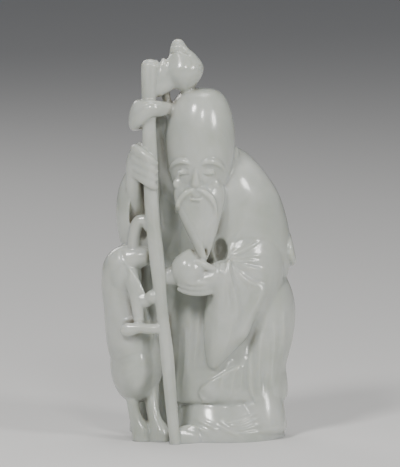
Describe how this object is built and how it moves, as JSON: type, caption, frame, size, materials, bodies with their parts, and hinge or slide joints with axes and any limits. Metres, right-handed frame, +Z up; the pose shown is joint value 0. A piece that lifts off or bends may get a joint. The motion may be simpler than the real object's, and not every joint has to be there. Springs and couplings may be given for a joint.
{
  "type": "jade figure",
  "caption": "Carved jade figure of a bearded sage in a long robe, leaning on a gnarled staff beside a deer, with a peach in the hand and a gourd at the staff's top.",
  "frame": {"origin": "centre of the bounding box's bottom face, on the flat underside that the figure stands on", "axes": "+Z is up; the figure faces -Y, with the staff and the deer on the -X side and the gathered sleeve on the +X side"},
  "size_m": [0.0726, 0.0448, 0.15],
  "materials": {
    "jade": "polished"
  },
  "bodies": {
    "root": {"figure": "jade"}
  },
  "joints": []
}
